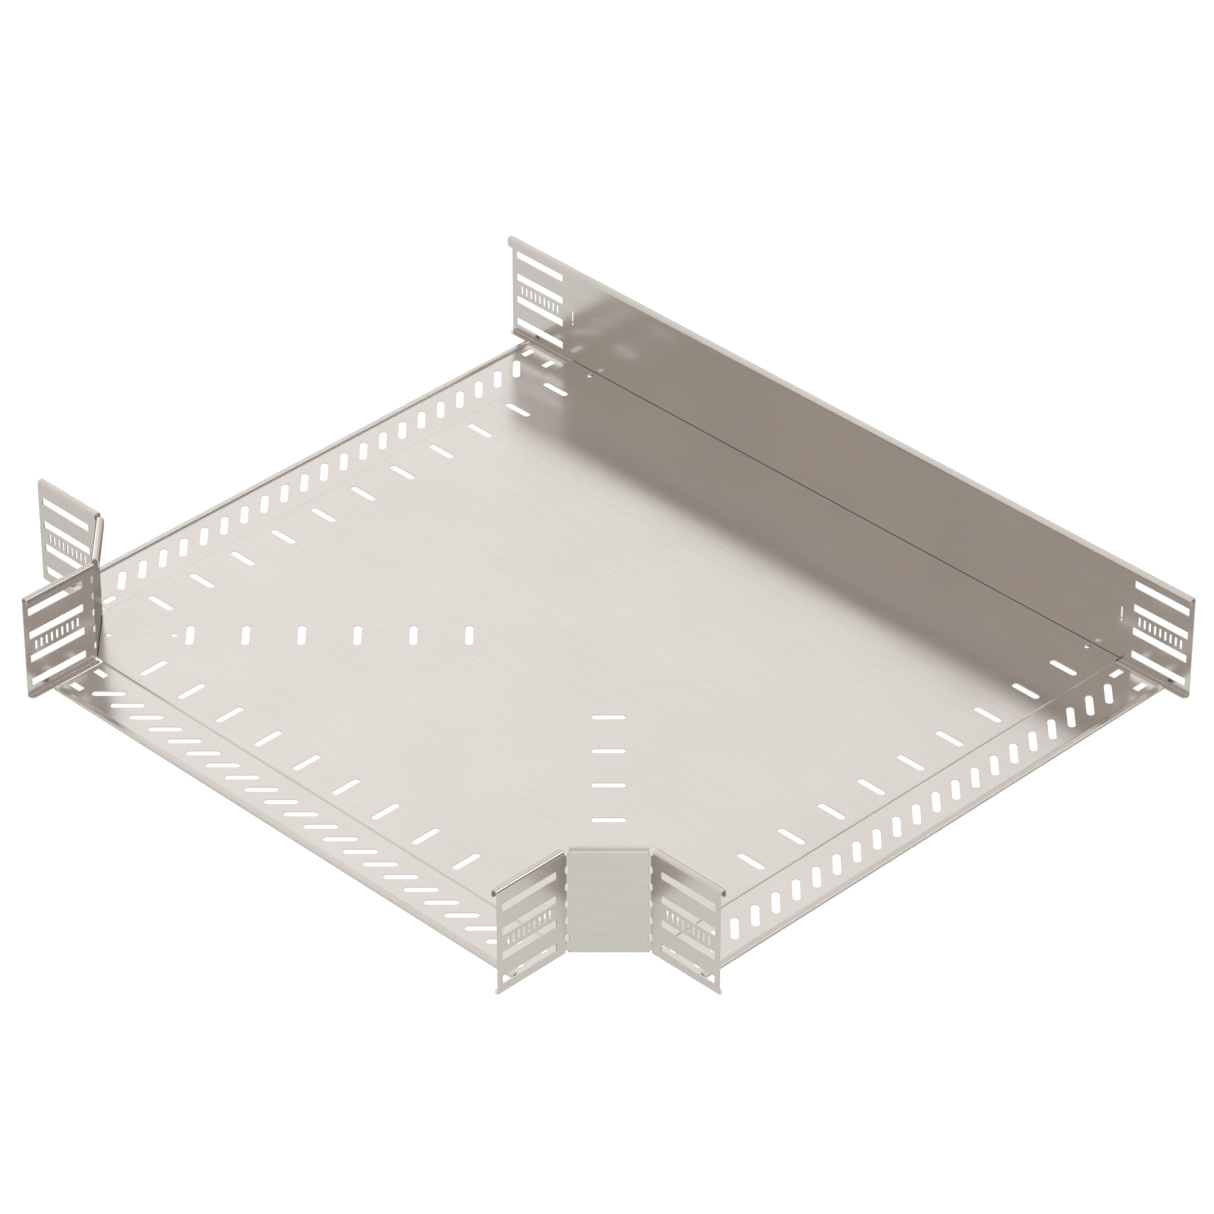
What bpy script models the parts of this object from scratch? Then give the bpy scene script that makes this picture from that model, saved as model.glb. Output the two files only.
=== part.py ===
# Cable tray tee: a punched floor plate with three joggled tongues, one straight side rail along the closed
# side, and two corner rails that lead into the branch. All of it is folded from one thickness of sheet.
# The frame: the origin is where the centre lines cross, on top of the floor. X runs along the through run,
# the branch opens towards -Y, and +Z is up. All lengths are in metres.

import math

import bmesh
import bpy
from mathutils import Matrix, Vector

# Sheet
SHEET = 0.0010  # thickness of every piece
SEAT = 0.0003  # clearance between two sheets that lie on each other

# Plan
TRAY_WIDTH = 0.5950  # between the middles of two facing side walls
MIDDLE_PANEL = 0.0700  # length of a corner rail's 45 degree panel
END_PANEL = 0.0800  # from a corner's bend line to the end of the wall
CORNER_RADIUS = 0.0010  # inside of the vertical bends

# Side wall section
RAIL_TOP = 0.1053  # top of the rolled hem over the floor
HEM_RADIUS = 0.0036  # outside of the rolled hem
HEM_LIP = 0.0059  # straight lip below the hem's round
FOOT_FLANGE = 0.0060  # from the wall's middle to the flange's free edge
FOOT_RADIUS = 0.0005  # inside of the foot's bend
FLANGE_FILLET = 0.0045  # free corners of the foot flange
LIP_FILLET = 0.0030  # free corners of the hem's lip
FOOT_NOTCH_WIDTH = 0.0034  # relief in the foot at a vertical bend
FOOT_NOTCH_TOP = 0.0015  # how far that relief reaches over the floor
HEM_NOTCH_RADIUS = 0.0011  # round bottom of the V-shaped relief in the hem at a vertical bend
HEM_NOTCH_SLOPE = 22  # degrees, of that relief's sides from upright
HEM_NOTCH_DEPTH = 0.0064  # how far it reaches down from the hem's top
HEM_SETBACK = 0.0021  # from a bend line to the end of the hem

# Wall slots
JOINT_SLOT_HEIGHT = 0.0080
JOINT_SLOT_FIRST = 0.0108  # lowest row's middle over the floor
JOINT_SLOT_PITCH = 0.0250  # between rows
JOINT_SLOT_TO_END = 0.0055  # from a slot to the end of the wall
JOINT_SLOT_TO_BEND = 0.0120  # from a slot to the bend line
STUD_SLOT_WIDTH = 0.0028
STUD_SLOT_HEIGHT = 0.0099
STUD_SLOT_PITCH = 0.0060
STUD_SLOT_MARGIN = 0.0050  # kept free at both ends of the row
BEND_SLOT_WIDTH = 0.0040
BEND_SLOT_HEIGHT = 0.0077
BEND_SLOT_FIRST = 0.0140
BEND_SLOT_PITCH = 0.01775
SLOT_ROW_MARGIN = 0.0040  # kept free under the hem's lip
GAUGE_SLIT_WIDTH = 0.0020
GAUGE_SLIT_HEIGHT = 0.0120
GAUGE_SLIT_MIDDLE = 0.0495
GAUGE_SLIT_SIDE = 0.0014  # inwards of the bend line
GAUGE_HOLE_RADIUS = 0.0013
GAUGE_HOLE_DROP = 0.0085  # from the slit's middle down to the hole's

# Floor plate section
STEP_SLOPE = 60  # degrees, of the joggle and of the bead's inner side
STEP_RADIUS = 0.0003  # inside of the folds at both ends of such a slope
FLAT_END = 0.0010  # from the end of the floor's flat to the bend line
JOGGLE_DROP = 0.0012  # from the floor to a tongue
TONGUE_REACH = 0.0565  # from the bend line to the bead's outer face
BEAD_FOOT = 0.0501  # from the bend line to where the bead rises from the tongue
BEAD_FALL = 10  # degrees, of the bead's top towards its outer face
BEAD_RADIUS = 0.00185  # outside of the rolled bead
BEAD_RETURN = 0.0060  # of the sheet that is folded back underneath
BACK_TONGUE_GAP = 0.0011  # from a tongue's side to the back rail's flange
CORNER_TONGUE_GAP = 0.0019  # from a tongue's side to a corner rail's flange

# Floor slots and holes
FLOOR_SLOT_WIDTH = 0.0070
FLOOR_SLOT_LENGTH = 0.0302
TONGUE_SLOT_PITCH = 0.0250
TONGUE_SLOT_LINE = 0.0273  # from the bend line
INNER_SLOT_PITCH = 0.0500
INNER_SLOT_LINE = 0.0259  # inwards of the bend line
SLOT_SIDE_MARGIN = 0.0300  # from a tongue's side to its last slot's middle
DIAGONAL_SLOT_PITCH = 0.0500
DIAGONAL_SLOT_FIRST = 0.0811  # from the middle panel
DIAGONAL_CENTRE_CLEAR = 0.1100  # kept free around the crossing
TOOLING_HOLE_RADIUS = 0.0029
BACK_HOLE_IN = 0.0075  # from the back wall
BACK_HOLE_SIDE = 0.0324  # inwards of the bend line
CORNER_HOLE_IN = 0.0081  # from the middle panel
DIAGONAL_HOLE_IN = 0.0672  # from the middle panel
TONGUE_HOLE_WIDTH = 0.0070
TONGUE_HOLE_LENGTH = 0.0140
TONGUE_HOLE_SIDE = 0.0116  # from a tongue's side to the hole's middle
TONGUE_HOLE_FIRST = 0.0120  # from the bend line
TONGUE_HOLE_PITCH = 0.0280

# Facets
HEM_FACETS = 8
FOOT_FACETS = 3
CORNER_FACETS = 3
BEAD_FACETS = 8
STEP_FACETS = 3
SLOT_FACETS = 6
SMALL_FACETS = 4
FILLET_FACETS = 5

# Worked out from the sizes above
WALL = TRAY_WIDTH / 2
DIAGONAL = math.sqrt(0.5)
BEND_LINE = WALL + MIDDLE_PANEL * DIAGONAL
PANEL_MIDDLE = (WALL + BEND_LINE) / 2
BEND_TANGENT = (CORNER_RADIUS + SHEET / 2) * math.tan(math.pi / 8)  # from a bend line to where the round starts
WALL_END = BEND_LINE + END_PANEL
FLANGE_TOP = -SHEET - SEAT
FLANGE_EDGE = WALL - FOOT_FLANGE
FLOOR_EDGE = WALL - SHEET / 2 - FOOT_RADIUS
TONGUE_HALF = FLANGE_EDGE - CORNER_TONGUE_GAP
BEND_ANGLE = math.pi / 4
UP = Vector((0, 0, 1))

# The three openings: which way each faces, and which way its tongue's slots slant
OPENINGS = (
    (Vector((-1, 0, 0)), Vector((-DIAGONAL, DIAGONAL, 0))),
    (Vector((1, 0, 0)), Vector((-DIAGONAL, DIAGONAL, 0))),
    (Vector((0, -1, 0)), Vector((DIAGONAL, DIAGONAL, 0))),
)


def clear_scene():
    for old in list(bpy.data.objects):
        bpy.data.objects.remove(old)


def new_collection(name):
    collection = bpy.data.collections.new(name)
    bpy.context.scene.collection.children.link(collection)
    return collection


def stainless_sheet(name):
    material = bpy.data.materials.new(name)
    material.use_nodes = True
    shader = material.node_tree.nodes["Principled BSDF"]
    shader.inputs["Base Color"].default_value = (0.54, 0.51, 0.46, 1.0)
    shader.inputs["Metallic"].default_value = 1.0
    shader.inputs["Roughness"].default_value = 0.25
    return material


def arc(centre, radius, start, end, facets):
    """Points on an arc in a plane, both ends included. The angles are in degrees."""
    points = []
    for i in range(facets + 1):
        angle = math.radians(start + (end - start) * i / facets)
        points.append((centre[0] + radius * math.cos(angle), centre[1] + radius * math.sin(angle)))
    return points


def slot_outline(length, width, facets):
    straight = (length - width) / 2
    right = arc((straight, 0), width / 2, -90, 90, facets)
    left = arc((-straight, 0), width / 2, 90, 270, facets)
    return right + left


def box_outline(length, width):
    return [(-length / 2, -width / 2), (length / 2, -width / 2), (length / 2, width / 2), (-length / 2, width / 2)]


def ring_outline(radius, facets):
    return arc((0, 0), radius, 0, 360, facets)[:-1]


def fillet_outline(radius):
    """What a fillet takes from a square corner at the origin whose material lies at +u, -v."""
    round_edge = arc((radius, -radius), radius, 180, 90, FILLET_FACETS)
    return [(-SHEET, -radius)] + round_edge + [(radius, SHEET), (-SHEET, SHEET)]


def add_prism(mesh, outline, place, reach):
    """A closed prism on an outline in the plane's u and v, reaching as far up as down."""
    bottom = [mesh.verts.new(place @ Vector((u, v, -reach))) for u, v in outline]
    face = mesh.faces.new(bottom)
    raised = bmesh.ops.extrude_face_region(mesh, geom=[face])["geom"]
    lift = place.to_3x3() @ Vector((0, 0, 2 * reach))
    bmesh.ops.translate(mesh, verts=[v for v in raised if isinstance(v, bmesh.types.BMVert)], vec=lift)


def plane(origin, u, v):
    """A frame whose w is u cross v."""
    u = Vector(u)
    v = Vector(v)
    return Matrix.Translation(Vector(origin)) @ Matrix((u, v, u.cross(v))).transposed().to_4x4()


def finish_object(name, mesh, collection):
    bmesh.ops.remove_doubles(mesh, verts=mesh.verts, dist=1e-6)
    bmesh.ops.recalc_face_normals(mesh, faces=mesh.faces)
    data = bpy.data.meshes.new(name)
    mesh.to_mesh(data)
    mesh.free()
    made = bpy.data.objects.new(name, data)
    collection.objects.link(made)
    return made


def thicken_and_cut(sheet, cutter):
    """Gives an open middle surface its sheet thickness and punches it."""
    solidify = sheet.modifiers.new("sheet thickness", "SOLIDIFY")
    solidify.thickness = SHEET
    solidify.offset = 0
    solidify.use_even_offset = True
    cutter.hide_render = True
    cutter.display_type = "WIRE"
    punch = sheet.modifiers.new("punching", "BOOLEAN")
    punch.object = cutter
    punch.operation = "DIFFERENCE"
    punch.solver = "EXACT"
    sheet.data.materials.append(stainless_sheet(sheet.name + "_steel"))
    sheet.data.shade_smooth()
    sheet.data.set_sharp_from_angle(angle=math.radians(30))


def row_offsets(half_length, pitch):
    """Places of a centred row that fits within half_length on both sides."""
    side = int(half_length / pitch + 1e-6)
    return [i * pitch for i in range(-side, side + 1)]


def rising_rows(first, pitch, size):
    """Heights of a column of slots that starts at first and ends under the hem's lip."""
    last = RAIL_TOP - HEM_RADIUS - HEM_LIP - SLOT_ROW_MARGIN - size / 2
    return [first + i * pitch for i in range(int((last - first) / pitch + 1e-6) + 1)]


# Side rails


def wall_section():
    """Middle line of the wall's section, as (inwards, up): foot flange, wall, rolled hem and lip."""
    foot_radius = FOOT_RADIUS + SHEET / 2
    flange_middle = FLANGE_TOP - SHEET / 2
    foot = arc((foot_radius, flange_middle + foot_radius), foot_radius, 270, 180, FOOT_FACETS)
    hem_radius = HEM_RADIUS - SHEET / 2
    hem_middle = RAIL_TOP - HEM_RADIUS
    hem = arc((hem_radius, hem_middle), hem_radius, 180, 0, HEM_FACETS)
    lip = [(2 * hem_radius, hem_middle - HEM_LIP)]
    return [(FOOT_FLANGE, flange_middle)], foot, hem, lip


def sweep_straight(mesh, section, start, along, inwards, length):
    """Carries an open section line along a straight stretch."""
    corners = [mesh.verts.new(start + inwards * i + UP * z) for i, z in section]
    edges = [mesh.edges.new(pair) for pair in zip(corners, corners[1:])]
    swept = bmesh.ops.extrude_edge_only(mesh, edges=edges)["geom"]
    bmesh.ops.translate(mesh, verts=[v for v in swept if isinstance(v, bmesh.types.BMVert)], vec=along * length)


def sweep_panel(mesh, start, along, inwards, length, plain_start, plain_end):
    """A straight panel. Its hem stops short by the plain lengths at the two ends."""
    flange, foot, hem, lip = wall_section()
    hemmed = length - plain_start - plain_end
    sweep_straight(mesh, flange + foot + [hem[0]], start, along, inwards, plain_start)
    first = start + along * plain_start
    sweep_straight(mesh, flange + foot + hem + lip, first, along, inwards, hemmed)
    last = first + along * hemmed
    sweep_straight(mesh, flange + foot + [hem[0]], last, along, inwards, plain_end)


def sweep_bend(mesh, start, along, inwards):
    """The plain wall carried round a vertical bend of 45 degrees. Foot and hem are relieved there."""
    foot, hem = wall_section()[1:3]
    ends = [mesh.verts.new(start + UP * z) for z in (foot[-1][1], hem[0][1])]
    edge = mesh.edges.new(ends)
    centre = start - inwards * (CORNER_RADIUS + SHEET / 2)
    bmesh.ops.spin(mesh, geom=ends + [edge], cent=centre, axis=UP, angle=-BEND_ANGLE, steps=CORNER_FACETS)


def cut_wall_end(cutter, wall_end, away, inwards):
    """Joint slots, stud slots and the filleted free corners at one end of a wall."""
    length = END_PANEL - JOINT_SLOT_TO_END - JOINT_SLOT_TO_BEND
    middle = wall_end - away * (JOINT_SLOT_TO_END + length / 2)
    rows = rising_rows(JOINT_SLOT_FIRST, JOINT_SLOT_PITCH, JOINT_SLOT_HEIGHT)
    for z in rows:
        place = plane(middle + UP * z, away, UP)
        add_prism(cutter, box_outline(length, JOINT_SLOT_HEIGHT), place, SHEET)
    stud_height = rows[len(rows) // 2] - JOINT_SLOT_PITCH / 2
    stud = slot_outline(STUD_SLOT_HEIGHT, STUD_SLOT_WIDTH, SMALL_FACETS)
    for offset in row_offsets(length / 2 - STUD_SLOT_MARGIN, STUD_SLOT_PITCH):
        place = plane(middle + away * offset + UP * stud_height, UP, away)
        add_prism(cutter, stud, place, SHEET)
    flange_corner = wall_end + inwards * FOOT_FLANGE + UP * (FLANGE_TOP - SHEET / 2)
    add_prism(cutter, fillet_outline(FLANGE_FILLET), plane(flange_corner, -away, inwards), SHEET)
    lip_inwards, lip_height = wall_section()[3][0]
    lip_corner = wall_end + inwards * lip_inwards + UP * lip_height
    add_prism(cutter, fillet_outline(LIP_FILLET), plane(lip_corner, -away, -UP), SHEET)


def cut_bend(cutter, bend, along, reach):
    """Slots along a vertical bend, and the reliefs in the foot and the hem that let it be folded."""
    slot = slot_outline(BEND_SLOT_HEIGHT, BEND_SLOT_WIDTH, SMALL_FACETS)
    for z in rising_rows(BEND_SLOT_FIRST, BEND_SLOT_PITCH, BEND_SLOT_HEIGHT):
        add_prism(cutter, slot, plane(bend + UP * z, UP, along), 3 * SHEET)
    radius = FOOT_NOTCH_WIDTH / 2
    foot = arc((0, FOOT_NOTCH_TOP - radius), radius, 0, 180, 2 * SMALL_FACETS)
    foot = foot + [(-radius, -reach), (radius, -reach)]
    add_prism(cutter, foot, plane(bend, along, UP), reach)
    centre = (0, HEM_NOTCH_RADIUS - HEM_NOTCH_DEPTH)
    hem = arc(centre, HEM_NOTCH_RADIUS, 180 + HEM_NOTCH_SLOPE, 360 - HEM_NOTCH_SLOPE, 2 * SMALL_FACETS)
    side, height = hem[-1]
    wide = side + (reach - height) * math.tan(math.radians(HEM_NOTCH_SLOPE))
    hem = hem + [(wide, reach), (-wide, reach)]
    add_prism(cutter, hem, plane(bend + UP * RAIL_TOP, along, UP), reach)


def make_back_side_rail(parts, cutters):
    mesh = bmesh.new()
    cutter = bmesh.new()
    inwards = Vector((0, -1, 0))
    sweep_panel(mesh, Vector((-WALL_END, WALL, 0)), Vector((1, 0, 0)), inwards, 2 * WALL_END, 0, 0)
    for side in (-1, 1):
        away = Vector((side, 0, 0))
        cut_wall_end(cutter, Vector((side * WALL_END, WALL, 0)), away, inwards)
        gauge = Vector((side * (BEND_LINE - GAUGE_SLIT_SIDE), WALL, GAUGE_SLIT_MIDDLE))
        slit = slot_outline(GAUGE_SLIT_HEIGHT, GAUGE_SLIT_WIDTH, SMALL_FACETS)
        add_prism(cutter, slit, plane(gauge, UP, away), SHEET)
        hole = ring_outline(GAUGE_HOLE_RADIUS, 2 * SMALL_FACETS)
        add_prism(cutter, hole, plane(gauge - UP * GAUGE_HOLE_DROP, UP, away), SHEET)
    rail = finish_object("back_side_rail", mesh, parts)
    thicken_and_cut(rail, finish_object("back_side_rail_cutter", cutter, cutters))


def make_corner_rail(name, side, parts, cutters):
    """The rail at +X, or with side -1 its mirror image at -X."""
    mesh = bmesh.new()
    cutter = bmesh.new()
    plain = HEM_SETBACK - BEND_TANGENT
    turns = (Vector((0, 1, 0)), Vector((DIAGONAL, DIAGONAL, 0)), Vector((1, 0, 0)))
    lengths = (END_PANEL - BEND_TANGENT, MIDDLE_PANEL - 2 * BEND_TANGENT, END_PANEL - BEND_TANGENT)
    bends = (Vector((WALL, -BEND_LINE, 0)), Vector((BEND_LINE, -WALL, 0)))
    starts = (Vector((WALL, -WALL_END, 0)), bends[0] + turns[1] * BEND_TANGENT, bends[1] + turns[2] * BEND_TANGENT)
    plains = ((0, plain), (plain, plain), (plain, 0))
    for start, along, length, (plain_start, plain_end) in zip(starts, turns, lengths, plains):
        inwards = UP.cross(along)
        sweep_panel(mesh, start, along, inwards, length, plain_start, plain_end)
    reach = FOOT_FLANGE + HEM_NOTCH_DEPTH
    for bend, before, after in zip(bends, turns, turns[1:]):
        sweep_bend(mesh, bend - before * BEND_TANGENT, before, UP.cross(before))
        cut_bend(cutter, bend, (before + after).normalized(), reach)
    cut_wall_end(cutter, starts[0], -turns[0], UP.cross(turns[0]))
    cut_wall_end(cutter, Vector((WALL_END, -WALL, 0)), turns[2], UP.cross(turns[2]))
    for half in (mesh, cutter):
        bmesh.ops.scale(half, vec=(side, 1, 1), verts=half.verts)
    rail = finish_object(name, mesh, parts)
    thicken_and_cut(rail, finish_object(name + "_cutter", cutter, cutters))


# Floor plate


def folded_line(corners, radius):
    """The line through these corners, with every inner one rounded."""
    points = [corners[0]]
    for before, corner, after in zip(corners, corners[1:], corners[2:]):
        arriving = (Vector(corner) - Vector(before)).normalized()
        leaving = (Vector(after) - Vector(corner)).normalized()
        heading = math.atan2(arriving.y, arriving.x)
        turn = math.atan2(leaving.y, leaving.x) - heading
        side = math.copysign(1, turn)
        first = Vector(corner) - arriving * radius * math.tan(abs(turn) / 2)
        centre = first + Vector((-arriving.y, arriving.x)) * side * radius
        start = math.degrees(heading) - side * 90
        points += arc(centre, radius, start, start + math.degrees(turn), STEP_FACETS)
    return points + [corners[-1]]


def tongue_section():
    """Middle line of a tongue as (outwards, up), from the joggle to the end of the folded-back bead."""
    floor_middle = -SHEET / 2
    tongue_middle = floor_middle - JOGGLE_DROP
    back_middle = tongue_middle - SHEET - SEAT
    slope = math.tan(math.radians(STEP_SLOPE))
    fall = math.tan(math.radians(BEAD_FALL))
    bead_radius = BEAD_RADIUS - SHEET / 2
    bead_middle = BEND_LINE + TONGUE_REACH - BEAD_RADIUS
    bead = arc((bead_middle, back_middle + bead_radius), bead_radius, 90 - BEAD_FALL, -90, BEAD_FACETS)
    step = JOGGLE_DROP / slope / 2
    foot = BEND_LINE + BEAD_FOOT
    rise = (bead[0][1] - tongue_middle + (bead[0][0] - foot) * fall) / (1 + fall / slope)
    corners = [
        (BEND_LINE - FLAT_END, floor_middle),
        (BEND_LINE - step, floor_middle),
        (BEND_LINE + step, tongue_middle),
        (foot, tongue_middle),
        (foot + rise / slope, tongue_middle + rise),
        bead[0],
    ]
    return folded_line(corners, STEP_RADIUS + SHEET / 2) + bead[1:] + [(bead_middle - BEAD_RETURN, back_middle)]


def pull_tongue(mesh, edge, outwards):
    """Draws a tongue out of an edge of the floor, through every point of its section."""
    section = tongue_section()
    for (out, z), (next_out, next_z) in zip(section, section[1:]):
        drawn = bmesh.ops.extrude_edge_only(mesh, edges=[edge])["geom"]
        verts = [v for v in drawn if isinstance(v, bmesh.types.BMVert)]
        bmesh.ops.translate(mesh, verts=verts, vec=outwards * (next_out - out) + UP * (next_z - z))
        edge = mesh.edges.get(verts)


def cut_floor(cutter):
    """All the slots and holes of the floor and its tongues."""
    slot = slot_outline(FLOOR_SLOT_LENGTH, FLOOR_SLOT_WIDTH, SLOT_FACETS)
    side_hole = box_outline(TONGUE_HOLE_WIDTH, TONGUE_HOLE_LENGTH)
    round_hole = ring_outline(TOOLING_HOLE_RADIUS, 2 * SLOT_FACETS)
    holes = []
    for outwards, slant in OPENINGS:
        sideways = UP.cross(outwards)
        for offset in row_offsets(TONGUE_HALF - SLOT_SIDE_MARGIN, TONGUE_SLOT_PITCH):
            holes.append((slot, outwards * (BEND_LINE + TONGUE_SLOT_LINE) + sideways * offset, slant))
        for offset in row_offsets(TONGUE_HALF - SLOT_SIDE_MARGIN, INNER_SLOT_PITCH):
            holes.append((slot, outwards * (BEND_LINE - INNER_SLOT_LINE) + sideways * offset, outwards))
        for offset in (TONGUE_HALF - TONGUE_HOLE_SIDE, TONGUE_HOLE_SIDE - TONGUE_HALF):
            for out in (TONGUE_HOLE_FIRST, TONGUE_HOLE_FIRST + TONGUE_HOLE_PITCH):
                holes.append((side_hole, outwards * (BEND_LINE + out) + sideways * offset, outwards))
    across = PANEL_MIDDLE / DIAGONAL
    count = int((across - DIAGONAL_SLOT_FIRST - DIAGONAL_CENTRE_CLEAR) / DIAGONAL_SLOT_PITCH) + 1
    for side in (-1, 1):
        corner = Vector((side * DIAGONAL, -DIAGONAL, 0))
        for i in range(count):
            place = corner * (across - DIAGONAL_SLOT_FIRST - i * DIAGONAL_SLOT_PITCH)
            holes.append((slot, place, UP.cross(corner)))
        for inwards in (CORNER_HOLE_IN, DIAGONAL_HOLE_IN):
            holes.append((round_hole, corner * (across - inwards), corner))
        back = Vector((side * (BEND_LINE - BACK_HOLE_SIDE), WALL - BACK_HOLE_IN, 0))
        holes.append((round_hole, back, corner))
    for outline, place, along in holes:
        add_prism(cutter, outline, plane(place, along, UP.cross(along)), JOGGLE_DROP + 2 * SHEET)


def make_floor_plate(parts, cutters):
    mesh = bmesh.new()
    cutter = bmesh.new()
    end = tongue_section()[0][0]
    chamfer = BEND_LINE + WALL - (SHEET / 2 + FOOT_RADIUS) / DIAGONAL - end
    back_half = FLANGE_EDGE - BACK_TONGUE_GAP
    right = [(chamfer, -end), (end, -chamfer), (end, -TONGUE_HALF), (end, back_half), (end, FLOOR_EDGE)]
    left = [(-x, y) for x, y in reversed(right)]
    outline = [(TONGUE_HALF, -end)] + right + left + [(-TONGUE_HALF, -end)]
    verts = [mesh.verts.new((x, y, -SHEET / 2)) for x, y in outline]
    mesh.faces.new(verts)
    pull_tongue(mesh, mesh.edges.get((verts[3], verts[4])), Vector((1, 0, 0)))
    pull_tongue(mesh, mesh.edges.get((verts[7], verts[8])), Vector((-1, 0, 0)))
    pull_tongue(mesh, mesh.edges.get((verts[0], verts[-1])), Vector((0, -1, 0)))
    cut_floor(cutter)
    floor = finish_object("floor_plate", mesh, parts)
    thicken_and_cut(floor, finish_object("floor_plate_cutter", cutter, cutters))


clear_scene()
tee_parts = new_collection("cable_tray_tee")
punch_shapes = new_collection("cutters")
make_floor_plate(tee_parts, punch_shapes)
make_back_side_rail(tee_parts, punch_shapes)
make_corner_rail("left_corner_rail", -1, tee_parts, punch_shapes)
make_corner_rail("right_corner_rail", 1, tee_parts, punch_shapes)
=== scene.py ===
# Cable tray tee in stainless sheet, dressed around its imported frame.
# Lengths are in metres, in the frame's axes: X along the through run, -Y out of the branch, Z up.

import math

import bmesh
import bpy
from mathutils import Matrix, Vector


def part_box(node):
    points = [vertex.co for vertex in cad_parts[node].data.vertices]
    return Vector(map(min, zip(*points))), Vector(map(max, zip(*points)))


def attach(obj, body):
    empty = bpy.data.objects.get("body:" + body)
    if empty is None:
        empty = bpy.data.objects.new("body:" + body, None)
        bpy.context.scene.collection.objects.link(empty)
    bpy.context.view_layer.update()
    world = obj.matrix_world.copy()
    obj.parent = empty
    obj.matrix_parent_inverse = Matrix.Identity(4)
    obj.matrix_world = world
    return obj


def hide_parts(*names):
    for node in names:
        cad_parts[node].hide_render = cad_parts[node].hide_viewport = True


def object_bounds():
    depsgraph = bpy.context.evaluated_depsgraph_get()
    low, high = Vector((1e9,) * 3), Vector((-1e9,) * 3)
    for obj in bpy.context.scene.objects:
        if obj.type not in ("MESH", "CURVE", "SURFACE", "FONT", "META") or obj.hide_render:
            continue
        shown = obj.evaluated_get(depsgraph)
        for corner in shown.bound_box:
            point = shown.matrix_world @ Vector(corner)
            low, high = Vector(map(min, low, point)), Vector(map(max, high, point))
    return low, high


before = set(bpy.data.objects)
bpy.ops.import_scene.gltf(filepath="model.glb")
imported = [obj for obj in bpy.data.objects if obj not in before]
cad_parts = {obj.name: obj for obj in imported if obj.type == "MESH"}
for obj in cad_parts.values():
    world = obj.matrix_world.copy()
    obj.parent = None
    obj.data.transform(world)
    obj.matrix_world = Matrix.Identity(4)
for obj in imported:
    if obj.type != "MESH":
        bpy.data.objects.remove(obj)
cadLow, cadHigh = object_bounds()
print("frame loaded:", sorted(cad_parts))

# What the frame gives: the planes that all the folded sheets share
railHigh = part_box("back_side_rail")[1]
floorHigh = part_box("floor_plate")[1]
up = Vector((0, 0, 1))
halfDiagonal = math.sqrt(0.5)
bendAngle = math.pi / 4  # of each vertical bend in a corner rail

sheet = {
    "thickness": 0.0010,
    "seat": 0.0003,  # between the floor and the foot flanges under it
    "bendLine": 0.3470,  # from the tee's middle to the corner rails' vertical bends
    "wallEnd": railHigh.x,
    "railTop": railHigh.z,
    "beadFace": floorHigh.x,
    "floorBack": floorHigh.y,
}
sheet["wall"] = railHigh.y - sheet["thickness"] / 2  # middle of a wall's sheet

meshing = {
    "merge": 0.000001,  # points nearer than this become one
    "sharp": 35,  # degrees between two faces, from which their edge is drawn sharp
    "roundEnd": 0.4999,  # of a slot's width: a little under half, so that its two rounds never meet
}
hold = 0.0004  # a flat strip beside every fold, which keeps the flat faces flat under smooth shading
punchReach = 2 * sheet["thickness"]  # to either side of the sheet's middle


# Node trees

def addNode(tree, kind, settings=(), sockets=()):
    node = tree.nodes.new(kind)
    for name, value in dict(settings).items():
        setattr(node, name, value)
    for name, value in dict(sockets).items():
        if isinstance(value, bpy.types.NodeSocket):
            tree.links.new(value, node.inputs[name])
        else:
            node.inputs[name].default_value = value
    return node


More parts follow.
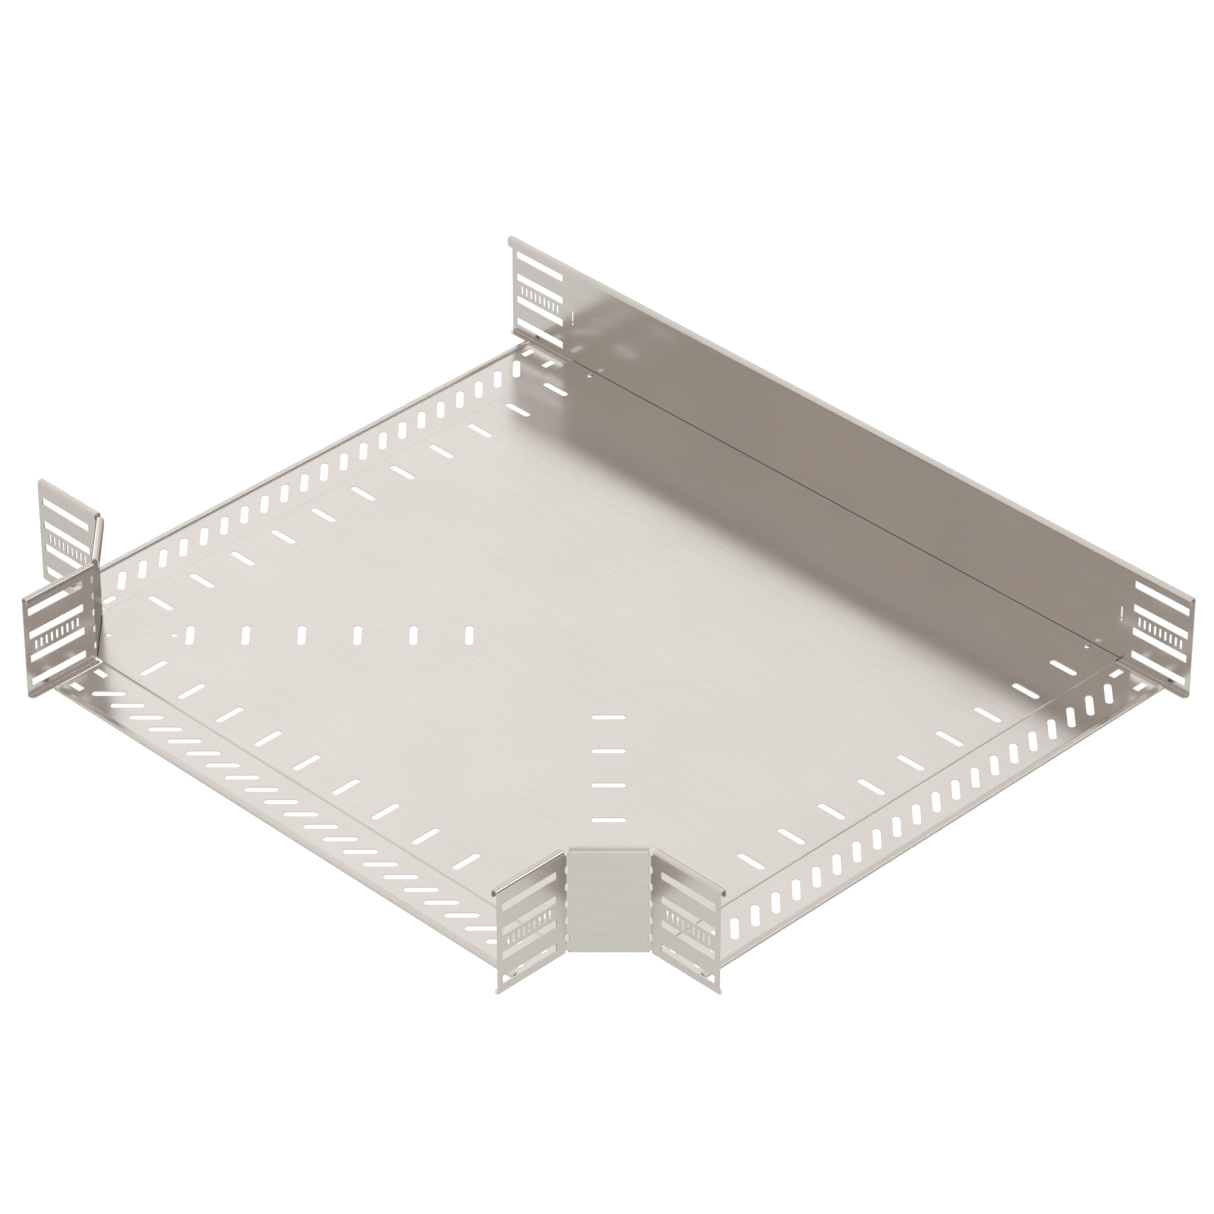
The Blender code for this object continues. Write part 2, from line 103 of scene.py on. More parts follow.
def makePunchTree():
    # A row of equal holes: a rounded outline drawn through the sheet, once at each point of a line
    tree = bpy.data.node_groups.new("punchedRow", "GeometryNodeTree")
    tree.is_modifier = True
    tree.interface.new_socket("Geometry", in_out="OUTPUT", socket_type="NodeSocketGeometry")
    for name, kind in (
        ("Geometry", "Geometry"), ("Count", "Int"), ("First", "Vector"), ("Step", "Vector"),
        ("Length", "Float"), ("Width", "Float"), ("Corner", "Float"), ("Facets", "Int"),
        ("Reach", "Float"), ("Turn", "Vector"), ("Material", "Material"),
    ):
        tree.interface.new_socket(name, in_out="INPUT", socket_type="NodeSocket" + kind)
    given = addNode(tree, "NodeGroupInput").outputs
    places = addNode(tree, "GeometryNodeMeshLine", {"mode": "OFFSET"}, {
        "Count": given["Count"], "Start Location": given["First"], "Offset": given["Step"]})
    outline = addNode(tree, "GeometryNodeCurvePrimitiveQuadrilateral", {"mode": "RECTANGLE"}, {
        "Width": given["Length"], "Height": given["Width"]})
    rounded = addNode(tree, "GeometryNodeFilletCurve", {"mode": "POLY"}, {
        "Curve": outline.outputs["Curve"], "Count": given["Facets"], "Radius": given["Corner"],
        "Limit Radius": True})
    low = addNode(tree, "ShaderNodeMath", {"operation": "MULTIPLY"}, {0: given["Reach"], 1: -1.0})
    start = addNode(tree, "ShaderNodeCombineXYZ", sockets={"Z": low.outputs[0]})
    end = addNode(tree, "ShaderNodeCombineXYZ", sockets={"Z": given["Reach"]})
    stroke = addNode(tree, "GeometryNodeCurvePrimitiveLine", sockets={
        "Start": start.outputs[0], "End": end.outputs[0]})
    tool = addNode(tree, "GeometryNodeCurveToMesh", sockets={
        "Curve": stroke.outputs[0], "Profile Curve": rounded.outputs[0], "Fill Caps": True})
    copies = addNode(tree, "GeometryNodeInstanceOnPoints", sockets={
        "Points": places.outputs[0], "Instance": tool.outputs[0], "Rotation": given["Turn"]})
    tools = addNode(tree, "GeometryNodeRealizeInstances", sockets={"Geometry": copies.outputs[0]})
    cut = addNode(tree, "GeometryNodeMeshBoolean", {"operation": "DIFFERENCE", "solver": "EXACT"}, {
        "Mesh 1": given["Geometry"], "Mesh 2": tools.outputs[0]})
    real = addNode(tree, "GeometryNodeRealizeInstances", sockets={"Geometry": cut.outputs[0]})
    painted = addNode(tree, "GeometryNodeSetMaterial", sockets={
        "Geometry": real.outputs[0], "Material": given["Material"]})
    addNode(tree, "NodeGroupOutput", sockets={"Geometry": painted.outputs[0]})
    return tree


def punchAll(piece, tree, material, rows):
    # One modifier for each row, with the row's values in the inputs of the same names
    for row in rows:
        modifier = piece.modifiers.new(row["name"], "NODES")
        modifier.node_group = tree
        values = dict(row, material=material)
        for socket in tree.interface.items_tree:
            key = socket.name[0].lower() + socket.name[1:]
            if socket.in_out == "INPUT" and key in values:
                modifier[socket.identifier] = values[key]


def rowOf(name, places, length, width, turn, reach, corner=None, facets=12):
    # Evenly spaced holes from a list of their middles, with round ends unless a corner radius is given
    return {
        "name": name, "count": len(places), "first": places[0], "step": places[1] - places[0],
        "length": length, "width": width,
        "corner": width * meshing["roundEnd"] if corner is None else corner,
        "facets": facets, "reach": reach, "turn": turn,
    }


def turnTo(along, through):
    # Euler turn that lays a hole's length along one way and its stroke through the sheet
    side = through.cross(along)
    return Vector(Matrix((along, side, through)).transposed().to_euler())


# Sheet work shared by the pieces

def arc(centre, radius, start, end, facets):
    points = []
    for i in range(facets + 1):
        angle = math.radians(start + (end - start) * i / facets)
        points.append((centre[0] + radius * math.cos(angle), centre[1] + radius * math.sin(angle)))
    return points


def newPiece(name, mesh):
    bmesh.ops.remove_doubles(mesh, verts=mesh.verts, dist=meshing["merge"])
    bmesh.ops.recalc_face_normals(mesh, faces=mesh.faces)
    data = bpy.data.meshes.new(name)
    mesh.to_mesh(data)
    mesh.free()
    piece = bpy.data.objects.new(name, data)
    bpy.context.scene.collection.objects.link(piece)
    return piece


def giveThickness(piece):
    solidify = piece.modifiers.new("sheet", "SOLIDIFY")
    solidify.thickness = sheet["thickness"]
    solidify.offset = 0
    solidify.use_even_offset = True


def toPlainMesh(piece, material):
    # The evaluated result as a plain mesh on an object at the origin, its folds smooth and its cuts sharp
    graph = bpy.context.evaluated_depsgraph_get()
    data = bpy.data.meshes.new_from_object(piece.evaluated_get(graph))
    name = piece.name
    rough = piece.data
    bpy.data.objects.remove(piece)
    bpy.data.meshes.remove(rough)
    data.name = name
    data.materials.clear()
    data.materials.append(material)
    data.shade_smooth()
    data.set_sharp_from_angle(angle=math.radians(meshing["sharp"]))
    done = bpy.data.objects.new(name, data)
    bpy.context.scene.collection.objects.link(done)
    return done


def shiftNew(mesh, drawn, shift):
    # Moves the points that an extrusion has just made
    verts = [part for part in drawn["geom"] if isinstance(part, bmesh.types.BMVert)]
    bmesh.ops.translate(mesh, verts=verts, vec=shift)
    return verts


def sweepStraight(mesh, section, start, along, inwards, length):
    corners = [mesh.verts.new(start + inwards * i + up * z) for i, z in section]
    edges = [mesh.edges.new(pair) for pair in zip(corners, corners[1:])]
    shiftNew(mesh, bmesh.ops.extrude_edge_only(mesh, edges=edges), along * length)


# Side rails

rail = {
    "hemRadius": 0.0036,  # outside of the rolled hem
    "hemLip": 0.0059,
    "footFlange": 0.0060,
    "footRadius": 0.0005,  # inside of the fold at the wall's foot
    "cornerRadius": 0.0010,  # inside of a vertical bend
    "hemSetback": 0.0021,  # from a vertical bend to where the hem begins
    "hemNotchRadius": 0.0011,
    "hemNotchSlope": 22,
    "hemNotchDepth": 0.0064,
    "footNotchWidth": 0.0034,
    "footNotchTop": 0.0015,
    "flangeFillet": 0.0045,
    "lipFillet": 0.0030,
    "hemFacets": 24,
    "bendFacets": 8,
}

railHoles = {
    "jointHeight": 0.0080, "jointFirst": 0.0108, "jointPitch": 0.0250, "jointRows": 4,
    "jointToEnd": 0.0055, "jointToBend": 0.0120, "jointCorner": 0.0002, "jointFacets": 2,
    "studWidth": 0.0028, "studHeight": 0.0099, "studPitch": 0.0060, "studs": 9,
    "bendWidth": 0.0040, "bendHeight": 0.0077, "bendFirst": 0.0140, "bendPitch": 0.01775, "bendSlots": 5,
    "bendReach": 0.0030,  # these holes wrap round the bend
    "slitWidth": 0.0020, "slitHeight": 0.0120, "slitMiddle": 0.0495, "slitSide": 0.0014,
    "gaugeWidth": 0.0026, "gaugeDrop": 0.0085,
}


def wallSection():
    # Middle line of the wall, as (inwards, up): flange edge, foot bend, wall, hem round, lip
    half = sheet["thickness"] / 2
    radius = rail["footRadius"] + half
    low = -sheet["thickness"] - sheet["seat"] - half
    foot = arc((radius, low + radius), radius, 270, 180, rail["bendFacets"])
    foot = [(rail["footFlange"], low), (radius + hold, low)] + foot + [(0, low + radius + hold)]
    hemRadius = rail["hemRadius"] - half
    top = sheet["railTop"] - rail["hemRadius"]
    hem = arc((hemRadius, top), hemRadius, 180, 0, rail["hemFacets"])
    lip = [(2 * hemRadius, top - hold), (2 * hemRadius, top - rail["hemLip"])]
    return foot, [(0, top - hold), hem[0]], hem[1:] + lip


def sweepPanel(mesh, start, along, inwards, length, plainStart, plainEnd):
    # A panel whose hem stops short of its ends by the two plain lengths
    foot, wallTop, hem = wallSection()
    sweepStraight(mesh, foot + wallTop, start, along, inwards, plainStart)
    start = start + along * plainStart
    length = length - plainStart - plainEnd
    sweepStraight(mesh, foot + wallTop + hem, start, along, inwards, length)
    sweepStraight(mesh, foot + wallTop, start + along * length, along, inwards, plainEnd)


def sweepBend(mesh, start, inwards):
    # The wall alone goes round a vertical bend, because foot and hem are notched there
    foot, wallTop, hem = wallSection()
    corners = [mesh.verts.new(start + up * z) for i, z in foot[-2:] + wallTop]
    edges = [mesh.edges.new(pair) for pair in zip(corners, corners[1:])]
    centre = start - inwards * (rail["cornerRadius"] + sheet["thickness"] / 2)
    bmesh.ops.spin(mesh, geom=corners + edges, cent=centre, axis=up,
                   angle=-bendAngle, steps=rail["bendFacets"])


def planeAt(origin, u, v):
    return Matrix.Translation(origin) @ Matrix((u, v, u.cross(v))).transposed().to_4x4()


def addPrism(mesh, outline, place, reach):
    face = mesh.faces.new([mesh.verts.new(place @ Vector((u, v, -reach))) for u, v in outline])
    raised = bmesh.ops.extrude_face_region(mesh, geom=[face])
    shiftNew(mesh, raised, place.to_3x3() @ Vector((0, 0, 2 * reach)))


def filletOutline(radius):
    # What a rounded corner leaves over, with some to spare outside it
    spare = sheet["thickness"]
    curve = arc((radius, -radius), radius, 180, 90, rail["bendFacets"])
    return [(-spare, -radius)] + curve + [(radius, spare), (-spare, spare)]


def notchWallEnd(tool, end, away, inwards):
    # Rounds the free corners of the foot flange and of the hem's lip
    thickness = sheet["thickness"]
    flangeDrop = 1.5 * thickness + sheet["seat"]
    flangeCorner = end + inwards * rail["footFlange"] - up * flangeDrop
    addPrism(tool, filletOutline(rail["flangeFillet"]), planeAt(flangeCorner, -away, inwards), thickness)
    i, z = wallSection()[2][-1]
    lipCorner = end + inwards * i + up * z
    addPrism(tool, filletOutline(rail["lipFillet"]), planeAt(lipCorner, -away, -up), thickness)


def notchBend(tool, bend, along):
    # Takes a round-topped notch out of the foot and a V with a round bottom out of the hem
    reach = rail["footFlange"] + rail["hemNotchDepth"]
    radius = rail["footNotchWidth"] / 2
    foot = arc((0, rail["footNotchTop"] - radius), radius, 0, 180, 2 * rail["bendFacets"])
    addPrism(tool, foot + [(-radius, -reach), (radius, -reach)], planeAt(bend, along, up), reach)
    radius, lean = rail["hemNotchRadius"], rail["hemNotchSlope"]
    hem = arc((0, radius - rail["hemNotchDepth"]), radius, 180 + lean, 360 - lean, 2 * rail["bendFacets"])
    wide = hem[-1][0] + (reach - hem[-1][1]) * math.tan(math.radians(lean))
    place = planeAt(bend + up * sheet["railTop"], along, up)
    addPrism(tool, hem + [(wide, reach), (-wide, reach)], place, reach)


def wallEndRows(name, end, away, inwards):
    length = sheet["wallEnd"] - sheet["bendLine"] - railHoles["jointToEnd"] - railHoles["jointToBend"]
    middle = end - away * (railHoles["jointToEnd"] + length / 2)
    heights = [railHoles["jointFirst"] + i * railHoles["jointPitch"] for i in range(railHoles["jointRows"])]
    joints = [middle + up * z for z in heights]
    row = middle + up * (heights[1] + heights[2]) / 2
    side = (railHoles["studs"] - 1) / 2
    studs = [row + away * railHoles["studPitch"] * (i - side) for i in range(railHoles["studs"])]
    return [
        rowOf(name + " joint slots", joints, length, railHoles["jointHeight"], turnTo(away, inwards),
              punchReach, railHoles["jointCorner"], railHoles["jointFacets"]),
        rowOf(name + " stud slots", studs, railHoles["studHeight"], railHoles["studWidth"],
              turnTo(up, inwards), punchReach),
    ]


def bendRow(name, bend, along):
    places = [bend + up * (railHoles["bendFirst"] + i * railHoles["bendPitch"])
              for i in range(railHoles["bendSlots"])]
    return rowOf(name, places, railHoles["bendHeight"], railHoles["bendWidth"],
                 turnTo(up, up.cross(along)), railHoles["bendReach"])


def finishRail(name, mesh, tool, tree, material, rows):
    # Thickness first, then the notches and rounded corners, then the punched rows
    piece = newPiece(name, mesh)
    giveThickness(piece)
    cutter = newPiece(name + "Trim", tool)
    cutter.hide_render = True
    trim = piece.modifiers.new("trim", "BOOLEAN")
    trim.object = cutter
    trim.operation = "DIFFERENCE"
    trim.solver = "EXACT"
    punchAll(piece, tree, material, rows)
    done = toPlainMesh(piece, material)
    bpy.data.objects.remove(cutter)
    return done


def makeBackRail(tree, material):
    mesh = bmesh.new()
    tool = bmesh.new()
    inwards = Vector((0, -1, 0))
    start = Vector((-sheet["wallEnd"], sheet["wall"], 0))
    foot, wallTop, hem = wallSection()
    sweepStraight(mesh, foot + wallTop + hem, start, Vector((1, 0, 0)), inwards, 2 * sheet["wallEnd"])
    rows = []
    gauges = []
    for side, word in ((-1, "left"), (1, "right")):
        end = Vector((side * sheet["wallEnd"], sheet["wall"], 0))
        away = Vector((side, 0, 0))
        notchWallEnd(tool, end, away, inwards)
        rows += wallEndRows(word, end, away, inwards)
        gauges.append(Vector((side * (sheet["bendLine"] - railHoles["slitSide"]), sheet["wall"],
                              railHoles["slitMiddle"])))
    upright = turnTo(up, inwards)
    rows.append(rowOf("gauge slits", gauges, railHoles["slitHeight"], railHoles["slitWidth"],
                      upright, punchReach))
    rows.append(rowOf("gauge holes", [gauge - up * railHoles["gaugeDrop"] for gauge in gauges],
                      railHoles["gaugeWidth"], railHoles["gaugeWidth"], upright, punchReach))
    return finishRail("backSideRailSheet", mesh, tool, tree, material, rows)


def makeCornerRail(name, side, tree, material):
    # Drawn for the corner at +X; side -1 mirrors it to -X
    mesh = bmesh.new()
    tool = bmesh.new()
    wall, bendLine, end = sheet["wall"], sheet["bendLine"], sheet["wallEnd"]
    tangent = (rail["cornerRadius"] + sheet["thickness"] / 2) * math.tan(bendAngle / 2)
    plain = rail["hemSetback"] - tangent
    turns = (Vector((0, 1, 0)), Vector((halfDiagonal, halfDiagonal, 0)), Vector((1, 0, 0)))
    bends = (Vector((wall, -bendLine, 0)), Vector((bendLine, -wall, 0)))
    ends = (Vector((wall, -end, 0)), Vector((end, -wall, 0)))
    sweepPanel(mesh, ends[0], turns[0], up.cross(turns[0]), end - bendLine - tangent, 0, plain)
    sweepPanel(mesh, bends[0] + turns[1] * tangent, turns[1], up.cross(turns[1]),
               (bends[1] - bends[0]).length - 2 * tangent, plain, plain)
    sweepPanel(mesh, bends[1] + turns[2] * tangent, turns[2], up.cross(turns[2]),
               end - bendLine - tangent, plain, 0)
    mirror = Matrix.Diagonal((side, 1, 1))
    rows = []
    for i, bend in enumerate(bends):
        sweepBend(mesh, bend - turns[i] * tangent, up.cross(turns[i]))
        along = (turns[i] + turns[i + 1]).normalized()
        notchBend(tool, bend, along)
        rows.append(bendRow("bend slots", mirror @ bend, mirror @ along))
    openEnds = (("branch", ends[0], -turns[0], turns[0]), ("run", ends[1], turns[2], turns[2]))
    for word, point, away, turn in openEnds:
        notchWallEnd(tool, point, away, up.cross(turn))
        rows += wallEndRows(word, mirror @ point, mirror @ away, mirror @ up.cross(turn))
    for shape in (mesh, tool):
        bmesh.ops.scale(shape, vec=(side, 1, 1), verts=shape.verts)
    return finishRail(name, mesh, tool, tree, material, rows)


# Floor plate

floor = {
    "stepSlope": 60,  # of the joggle and the bead's inner side
    "stepRadius": 0.0003,
    "flatEnd": 0.0010,  # from the end of the floor's flat to the bend line
    "joggleDrop": 0.0012,
    "beadFoot": 0.0501,  # from the bend line to where the bead rises
    "beadFall": 10,  # slope of the bead's top
    "beadRadius": 0.00185,
    "beadReturn": 0.0060,
    "tongueBack": 0.2904,  # a tongue's side beside the back rail
    "tongueCorner": 0.2896,  # a tongue's side beside a corner rail
    "foldFacets": 6,
    "beadFacets": 20,
}

floorHoles = {
    "width": 0.0070, "length": 0.0302,
    "tonguePitch": 0.0250, "tongueSlots": 21, "tongueLine": 0.0273,
    "innerPitch": 0.0500, "innerSlots": 11, "innerLine": 0.0259,
    "diagonalPitch": 0.0500, "diagonalSlots": 6, "diagonalFirst": 0.0811,
    "toolingWidth": 0.0058, "backHoleIn": 0.0075, "backHoleSide": 0.0324,
    "cornerHoleIn": 0.0081, "diagonalHoleIn": 0.0672,
    "sideHoleWidth": 0.0070, "sideHoleLength": 0.0140, "sideHoleIn": 0.0116,
    "sideHoleFirst": 0.0120, "sideHolePitch": 0.0280, "sideHoleRows": 2,
    "sideHoleCorner": 0.0003, "sideHoleFacets": 3,
}


def foldAt(before, corner, after, radius):
    # The round that replaces one corner of a section
    arriving = (corner - before).normalized()
    leaving = (after - corner).normalized()
    heading = math.atan2(arriving.y, arriving.x)
    turn = math.atan2(leaving.y, leaving.x) - heading
    side = math.copysign(1, turn)
    first = corner - arriving * radius * math.tan(abs(turn) / 2)
    centre = first + Vector((-arriving.y, arriving.x)) * side * radius
    start = math.degrees(heading) - side * 90
    return arc(centre, radius, start, start + math.degrees(turn), floor["foldFacets"])


def joinRounds(rounds):
    # Straight stretches between rounds, each with its flat strip at both ends
    points = list(rounds[0])
    for follow in rounds[1:]:
        last = Vector(points[-1])
        way = Vector(follow[0]) - last
        if way.length > 3 * hold:
            points += [last + way.normalized() * hold, last + way - way.normalized() * hold]
        points += follow
    return points


def tongueSection():
    # Middle line of a tongue, as (outwards, up): joggle, flat, bead, and the edge folded back below
    half = sheet["thickness"] / 2
    low = -half - floor["joggleDrop"]
    back = low - sheet["thickness"] - sheet["seat"]
    slope = math.tan(math.radians(floor["stepSlope"]))
    fall = math.tan(math.radians(floor["beadFall"]))
    radius = floor["beadRadius"] - half
    middle = sheet["beadFace"] - floor["beadRadius"]
    bead = arc((middle, back + radius), radius, 90 - floor["beadFall"], -90, floor["beadFacets"])
    step = floor["joggleDrop"] / slope / 2
    line, foot = sheet["bendLine"], sheet["bendLine"] + floor["beadFoot"]
    rise = (bead[0][1] - low + (bead[0][0] - foot) * fall) / (1 + fall / slope)
    corners = [Vector(point) for point in (
        (line - floor["flatEnd"] - hold, -half), (line - step, -half), (line + step, low),
        (foot, low), (foot + rise / slope, low + rise), bead[0])]
    folds = [foldAt(*three, floor["stepRadius"] + half) for three in zip(corners, corners[1:], corners[2:])]
    return joinRounds([[corners[0]]] + folds + [bead, [(middle - floor["beadReturn"], back)]])


def pullTongue(mesh, edge, outwards):
    # Draws one edge of the floor outwards along the tongue's section
    section = tongueSection()
    for (out, z), (nextOut, nextZ) in zip(section, section[1:]):
        drawn = bmesh.ops.extrude_edge_only(mesh, edges=[edge])
        verts = shiftNew(mesh, drawn, outwards * (nextOut - out) + up * (nextZ - z))
        edge = mesh.edges.get(verts)


def lineUp(outwards, out, count, pitch):
    # Middles of a row across a tongue, at a distance outwards of the bend line
    sideways = up.cross(outwards)
    return [outwards * (sheet["bendLine"] + out) + sideways * pitch * (i - (count - 1) / 2)
            for i in range(count)]


def openingRows(word, outwards, slant):
    reach = punchReach + floor["joggleDrop"]
    tongue = lineUp(outwards, floorHoles["tongueLine"], floorHoles["tongueSlots"], floorHoles["tonguePitch"])
    inner = lineUp(outwards, -floorHoles["innerLine"], floorHoles["innerSlots"], floorHoles["innerPitch"])
    rows = [
        rowOf(word + " tongue slots", tongue, floorHoles["length"], floorHoles["width"],
              turnTo(slant, up), reach),
        rowOf(word + " inner slots", inner, floorHoles["length"], floorHoles["width"],
              turnTo(outwards, up), reach),
    ]
    apart = 2 * (floor["tongueCorner"] - floorHoles["sideHoleIn"])
    for i in range(floorHoles["sideHoleRows"]):
        out = floorHoles["sideHoleFirst"] + i * floorHoles["sideHolePitch"]
        rows.append(rowOf(word + " side holes", lineUp(outwards, out, 2, apart),
                          floorHoles["sideHoleLength"], floorHoles["sideHoleWidth"],
                          turnTo(up.cross(outwards), up), reach,
                          floorHoles["sideHoleCorner"], floorHoles["sideHoleFacets"]))
    return rows


def diagonalRows(word, side):
    corner = Vector((side * halfDiagonal, -halfDiagonal, 0))
    across = (sheet["wall"] + sheet["bendLine"]) / 2 / halfDiagonal
    slots = [corner * (across - floorHoles["diagonalFirst"] - i * floorHoles["diagonalPitch"])
             for i in range(floorHoles["diagonalSlots"])]
    holes = [corner * (across - floorHoles[key]) for key in ("cornerHoleIn", "diagonalHoleIn")]
    return [
        rowOf(word + " diagonal slots", slots, floorHoles["length"], floorHoles["width"],
              turnTo(up.cross(corner), up), punchReach),
        rowOf(word + " corner holes", holes, floorHoles["toolingWidth"], floorHoles["toolingWidth"],
              Vector(), punchReach),
    ]


def makeFloor(tree, material):
    mesh = bmesh.new()
    start = tongueSection()[0][0]
    end = start + hold
    slack = (sheet["thickness"] / 2 + rail["footRadius"]) / halfDiagonal
    chamfer = sheet["bendLine"] + sheet["wall"] - slack - end
    corner, back = floor["tongueCorner"], floor["tongueBack"]
    front = [(corner, -start), (corner, -end), (chamfer, -end), (end, -chamfer), (end, -corner)]
    right = [(start, -corner), (start, back)]
    outline = front + right + [(end, back), (end, sheet["floorBack"])]
    outline += [(-x, y) for x, y in reversed(outline)]
    verts = [mesh.verts.new((x, y, -sheet["thickness"] / 2)) for x, y in outline]
    mesh.faces.new(verts)
    # The branch's edge closes the outline, and the other two lie equally far from its two ends
    last = len(verts) - 1
    turn = len(front)
    pullTongue(mesh, mesh.edges.get((verts[turn], verts[turn + 1])), Vector((1, 0, 0)))
    pullTongue(mesh, mesh.edges.get((verts[last - turn], verts[last - turn - 1])), Vector((-1, 0, 0)))
    pullTongue(mesh, mesh.edges.get((verts[0], verts[last])), Vector((0, -1, 0)))
    rows = openingRows("left", Vector((-1, 0, 0)), Vector((-halfDiagonal, halfDiagonal, 0)))
    rows += openingRows("right", Vector((1, 0, 0)), Vector((-halfDiagonal, halfDiagonal, 0)))
    rows += openingRows("branch", Vector((0, -1, 0)), Vector((halfDiagonal, halfDiagonal, 0)))
    rows += diagonalRows("left", -1) + diagonalRows("right", 1)
    holes = [Vector((side * (sheet["bendLine"] - floorHoles["backHoleSide"]),
                     sheet["wall"] - floorHoles["backHoleIn"], 0)) for side in (-1, 1)]
    rows.append(rowOf("back holes", holes, floorHoles["toolingWidth"], floorHoles["toolingWidth"],
                      Vector(), punchReach))
    piece = newPiece("floorPlateSheet", mesh)
    giveThickness(piece)
    punchAll(piece, tree, material, rows)
    return toPlainMesh(piece, material)


# Finish

def hexColour(code):
    def linear(channel):
        return channel / 12.92 if channel <= 0.04045 else ((channel + 0.055) / 1.055) ** 2.4
    return [linear(int(code[i:i + 2], 16) / 255) for i in (1, 3, 5)] + [1.0]


# Cold rolled stainless sheet with its satin mill finish: a soft mirror that blurs what it reflects,
# warm grey, darker where it is seen nearly edge on, with faint streaks along the way it was rolled.
stainless = {
    "colour": "#C8C1BB", "streakColour": "#C4BDB7",
    "edgeTint": "#A29B92",
    "roughness": 0.19, "streakRoughness": 0.22,
    "streakLength": 0.090, "streakWidth": 0.004,  # the real streaks are tenths of a millimetre wide
    "streakDepth": 0.000005, "streakDetail": 3.0, "streakGrit": 0.6,
    "cloudSize": 0.12, "cloudShare": 0.5, "cloudDetail": 2.0,
    "noiseLow": 0.35, "noiseHigh": 0.65,  # what the mixed noise mostly stays between
}


def makeStainless(name, across):
    # The streaks are narrow along the axes named in across, and long along the others
    material = bpy.data.materials.new(name)
    material.use_nodes = True
    tree = material.node_tree
    shader = tree.nodes["Principled BSDF"]
    shader.inputs["Metallic"].default_value = 1.0
    shader.inputs["Specular Tint"].default_value = hexColour(stainless["edgeTint"])
    place = addNode(tree, "ShaderNodeTexCoord").outputs["Object"]
    stretch = [1 / stainless["streakWidth" if axis in across else "streakLength"] for axis in "xyz"]
    drawn = addNode(tree, "ShaderNodeVectorMath", {"operation": "MULTIPLY"}, {0: place, 1: stretch})
    streaks = addNode(tree, "ShaderNodeTexNoise", sockets={
        "Vector": drawn.outputs["Vector"], "Scale": 1.0,
        "Detail": stainless["streakDetail"], "Roughness": stainless["streakGrit"]})
    clouds = addNode(tree, "ShaderNodeTexNoise", sockets={
        "Vector": place, "Scale": 1 / stainless["cloudSize"], "Detail": stainless["cloudDetail"]})
    both = addNode(tree, "ShaderNodeMix", {"data_type": "FLOAT"}, {
        0: stainless["cloudShare"], 2: streaks.outputs["Fac"], 3: clouds.outputs["Fac"]})
    spread = addNode(tree, "ShaderNodeMapRange", sockets={
        "Value": both.outputs[0], "From Min": stainless["noiseLow"], "From Max": stainless["noiseHigh"]})
    tone = addNode(tree, "ShaderNodeMix", {"data_type": "RGBA"}, {
        0: spread.outputs["Result"], 6: hexColour(stainless["colour"]),
        7: hexColour(stainless["streakColour"])})
    polish = addNode(tree, "ShaderNodeMapRange", sockets={
        "Value": spread.outputs["Result"], "To Min": stainless["roughness"],
        "To Max": stainless["streakRoughness"]})
    relief = addNode(tree, "ShaderNodeBump", sockets={
        "Height": streaks.outputs["Fac"], "Distance": stainless["streakDepth"]})
    tree.links.new(tone.outputs[2], shader.inputs["Base Color"])
    tree.links.new(polish.outputs["Result"], shader.inputs["Roughness"])
    tree.links.new(relief.outputs["Normal"], shader.inputs["Normal"])
    return material


punchTree = makePunchTree()
floorSteel = makeStainless("stainless floor sheet, cold rolled", "y")
railSteel = makeStainless("stainless rail strip, cold rolled", "z")
pieces = {
    "floor_plate": makeFloor(punchTree, floorSteel),
    "back_side_rail": makeBackRail(punchTree, railSteel),
    "left_corner_rail": makeCornerRail("leftCornerRailSheet", -1, punchTree, railSteel),
    "right_corner_rail": makeCornerRail("rightCornerRailSheet", 1, punchTree, railSteel),
}
for node, piece in pieces.items():
    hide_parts(node)
    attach(piece, "root")
    print("made", piece.name, len(piece.data.polygons), "faces")


# Studio

studio = {
    "floorSize": 30.0,
    "floorGlow": 1.04, "floorColour": "#FBFFFE",
    "floorBase": "#272727",  # what little the light table reflects
    "azimuth": 45.005, "elevation": 35.006, "distance": 5.5166,
    "aim": (-0.03189, 0.02979, 0.0),
    "focal": 181.636, "sensor": 36.0,  # both in mm
}

# Light that comes from everywhere, then what a soft box adds to it or a dark stretch of the room takes away.
# Each lies along its way, and fades out over its spread in degrees.
roomGlow = 1.045
roomLights = {
    "back left soft box": {"way": (-0.83, 0.50, 0.26), "spread": 41, "colour": "#EFF7FF", "glow": 0.58},
    "left strip": {"way": (-0.985, 0.15, 0.02), "spread": 24, "colour": "#FFFFFF", "glow": 1.1},
    "left fill": {"way": (-0.62, -0.15, 0.77), "spread": 30, "colour": "#FFFFFF", "glow": 0.10},
    "front strip": {"way": (0.62, -0.78, 0.0), "spread": 27, "colour": "#FFFFFF", "glow": 0.45},
    "right soft box": {"way": (0.462, 0.579, 0.672), "spread": 9.5, "colour": "#FFFFFF", "glow": 2.5},
    "dark ceiling": {"way": (0.24, 0.05, 0.95), "spread": 44, "colour": "#FFFFFF", "glow": -0.20},
    "dim right side": {"way": (0.80, 0.57, 0.06), "spread": 46, "colour": "#FFFFFF", "glow": -0.44},
    "dark doorway": {"way": (0.81, 0.58, 0.02), "spread": 26, "colour": "#FFFFFF", "glow": -0.40},
}


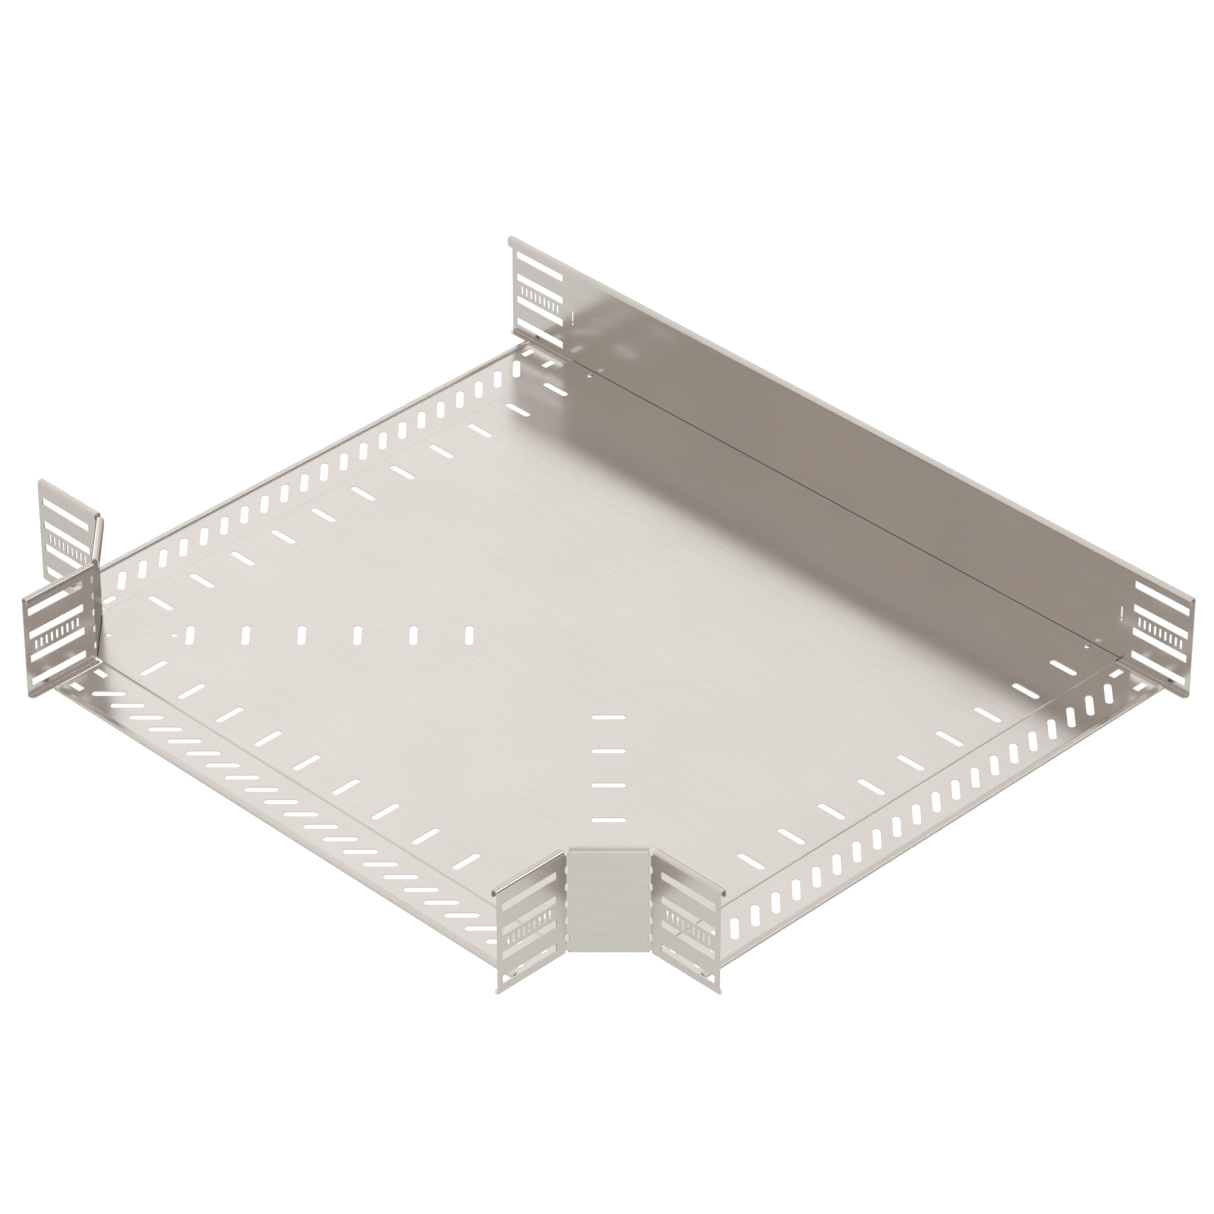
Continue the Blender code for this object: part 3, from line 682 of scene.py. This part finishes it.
def makeStage():
    mesh = bmesh.new()
    bmesh.ops.create_grid(mesh, x_segments=1, y_segments=1, size=studio["floorSize"] / 2)
    stage = newPiece("studioFloor", mesh)
    stage.location.z = cadLow.z
    material = bpy.data.materials.new("light table")
    material.use_nodes = True
    shader = material.node_tree.nodes["Principled BSDF"]
    shader.inputs["Base Color"].default_value = hexColour(studio["floorBase"])
    shader.inputs["Roughness"].default_value = 1.0
    shader.inputs["Specular IOR Level"].default_value = 0.0
    shader.inputs["Emission Color"].default_value = hexColour(studio["floorColour"])
    shader.inputs["Emission Strength"].default_value = studio["floorGlow"]
    stage.data.materials.append(material)


def makeWorld():
    world = bpy.data.worlds.new("soft studio")
    bpy.context.scene.world = world
    world.use_nodes = True
    tree = world.node_tree
    way = addNode(tree, "ShaderNodeTexCoord").outputs["Generated"]
    total = (roomGlow, roomGlow, roomGlow)
    for light in roomLights.values():
        facing = addNode(tree, "ShaderNodeVectorMath", {"operation": "DOT_PRODUCT"}, {
            0: way, 1: Vector(light["way"]).normalized()})
        glow = addNode(tree, "ShaderNodeMapRange", {"interpolation_type": "SMOOTHSTEP"}, {
            "Value": facing.outputs["Value"], "From Min": math.cos(math.radians(light["spread"])),
            "From Max": 1.0, "To Min": 0.0, "To Max": light["glow"]})
        added = addNode(tree, "ShaderNodeVectorMath", {"operation": "MULTIPLY_ADD"}, {
            0: glow.outputs["Result"], 1: hexColour(light["colour"])[:3], 2: total})
        total = added.outputs[0]
    tree.links.new(total, tree.nodes["Background"].inputs["Color"])


def makeCamera():
    data = bpy.data.cameras.new("camera")
    data.lens = studio["focal"]
    data.sensor_width = studio["sensor"]
    camera = bpy.data.objects.new("camera", data)
    bpy.context.scene.collection.objects.link(camera)
    azimuth, elevation = math.radians(studio["azimuth"]), math.radians(studio["elevation"])
    back = Vector((math.sin(azimuth) * math.cos(elevation), -math.cos(azimuth) * math.cos(elevation),
                   math.sin(elevation)))
    camera.location = Vector(studio["aim"]) + back * studio["distance"]
    camera.rotation_euler = back.to_track_quat("Z", "Y").to_euler()
    bpy.context.scene.camera = camera


makeStage()
makeWorld()
makeCamera()
bpy.context.scene.view_settings.view_transform = "Standard"
print("studio set")
